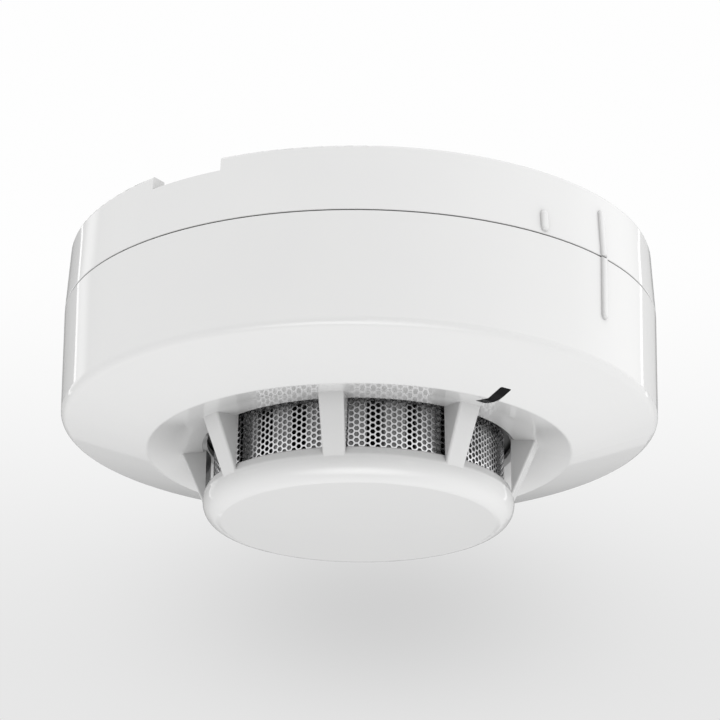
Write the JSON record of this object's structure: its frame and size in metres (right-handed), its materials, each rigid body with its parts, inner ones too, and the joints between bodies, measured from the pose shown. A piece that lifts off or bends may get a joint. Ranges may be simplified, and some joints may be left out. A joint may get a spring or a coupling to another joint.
{
  "type": "smoke detector",
  "caption": "Round ceiling smoke detector with a twist-lock head, mesh-screened smoke chamber on ribs and a slotted mounting base.",
  "frame": {"origin": "middle of the base's ceiling side, centre of the fixing slots and of the cable hole", "axes": "+Z into the ceiling, X along the line of the two fixing slots, the part hangs towards -Z"},
  "size_m": [0.1, 0.1, 0.0458],
  "materials": {
    "white_plastic": "glossy moulded white",
    "chassis_plastic": "satin moulded off-white",
    "black_plastic": "matt black",
    "grey_plastic": "satin mid grey",
    "steel_mesh": "bright etched stainless",
    "contact_strip": "bright rolled strip",
    "plated_steel": "zinc plated",
    "tin_plate": "tinned sheet",
    "board": "solder resist over glass epoxy",
    "chip_package": "matt epoxy",
    "ceramic": "fired ceramic",
    "capacitor_sleeve": "shrunk sleeve",
    "clear_glass": "clear glass tube",
    "smoked_lens": "dark tinted polycarbonate",
    "lamp": "clear red epoxy",
    "infrared_lens": "dark infrared epoxy"
  },
  "bodies": {
    "base": {"mounting_base": "white_plastic", "terminal_nuts": "plated_steel", "contact_spring_1": "contact_strip", "contact_spring_2": "contact_strip", "contact_spring_3": "contact_strip", "contact_spring_4": "contact_strip"},
    "head": {"outer_cover": "white_plastic", "insect_screen": "steel_mesh", "rear_chassis": "chassis_plastic", "contact_rivets": "contact_strip", "cover_screws": "plated_steel", "circuit_board": "board", "microcontroller": "chip_package", "amplifier_chip": "chip_package", "surge_suppressor": "chip_package", "chip_resistors": "chip_package", "chip_capacitors": "ceramic", "storage_capacitor": "capacitor_sleeve", "reed_switch": "clear_glass", "alarm_led": "lamp", "light_pipe": "smoked_lens", "chamber_base": "black_plastic", "screen_holder": "grey_plastic", "labyrinth": "black_plastic", "chamber_lid": "black_plastic", "infrared_emitter": "infrared_lens", "photodiode": "infrared_lens", "photodiode_shield": "tin_plate", "contact_blade_1": "contact_strip", "contact_blade_2": "contact_strip", "contact_blade_3": "contact_strip", "contact_blade_4": "contact_strip"},
    "terminal_clamp_1": {"terminal_clamp_1": "plated_steel"},
    "terminal_screw_1": {"terminal_screw_1": "plated_steel"},
    "terminal_clamp_2": {"terminal_clamp_2": "plated_steel"},
    "terminal_screw_2": {"terminal_screw_2": "plated_steel"},
    "terminal_clamp_3": {"terminal_clamp_3": "plated_steel"},
    "terminal_screw_3": {"terminal_screw_3": "plated_steel"},
    "terminal_clamp_4": {"terminal_clamp_4": "plated_steel"},
    "terminal_screw_4": {"terminal_screw_4": "plated_steel"}
  },
  "joints": [
    {"name": "head_twist", "type": "hinge", "parent": "base", "child": "head", "pos_m": [0, 0, -0.0087], "axis": [0, 0, 1], "range_deg": [-15.4, 0]},
    {"name": "clamp_slide_1", "type": "slide", "parent": "base", "child": "terminal_clamp_1", "axis": [0, 0, -1], "range_m": [0, 0.0018]},
    {"name": "terminal_turn_1", "type": "hinge", "parent": "terminal_clamp_1", "child": "terminal_screw_1", "pos_m": [0.02107, 0.01768, -0.008], "axis": [0, 0, -1], "range_deg": [0, 1080.5]},
    {"name": "clamp_slide_2", "type": "slide", "parent": "base", "child": "terminal_clamp_2", "axis": [0, 0, -1], "range_m": [0, 0.0018]},
    {"name": "terminal_turn_2", "type": "hinge", "parent": "terminal_clamp_2", "child": "terminal_screw_2", "pos_m": [-0.01768, 0.02107, -0.008], "axis": [0, 0, -1], "range_deg": [0, 1080.5]},
    {"name": "clamp_slide_3", "type": "slide", "parent": "base", "child": "terminal_clamp_3", "axis": [0, 0, -1], "range_m": [0, 0.0018]},
    {"name": "terminal_turn_3", "type": "hinge", "parent": "terminal_clamp_3", "child": "terminal_screw_3", "pos_m": [-0.02107, -0.01768, -0.008], "axis": [0, 0, -1], "range_deg": [0, 1080.5]},
    {"name": "clamp_slide_4", "type": "slide", "parent": "base", "child": "terminal_clamp_4", "axis": [0, 0, -1], "range_m": [0, 0.0018]},
    {"name": "terminal_turn_4", "type": "hinge", "parent": "terminal_clamp_4", "child": "terminal_screw_4", "pos_m": [0.01768, -0.02107, -0.008], "axis": [0, 0, -1], "range_deg": [0, 1080.5]}
  ],
  "couplings": [
    {"joint": "terminal_turn_1", "follows": "clamp_slide_1", "rad_per_m": 10472},
    {"joint": "terminal_turn_2", "follows": "clamp_slide_2", "rad_per_m": 10472},
    {"joint": "terminal_turn_3", "follows": "clamp_slide_3", "rad_per_m": 10472},
    {"joint": "terminal_turn_4", "follows": "clamp_slide_4", "rad_per_m": 10472}
  ]
}
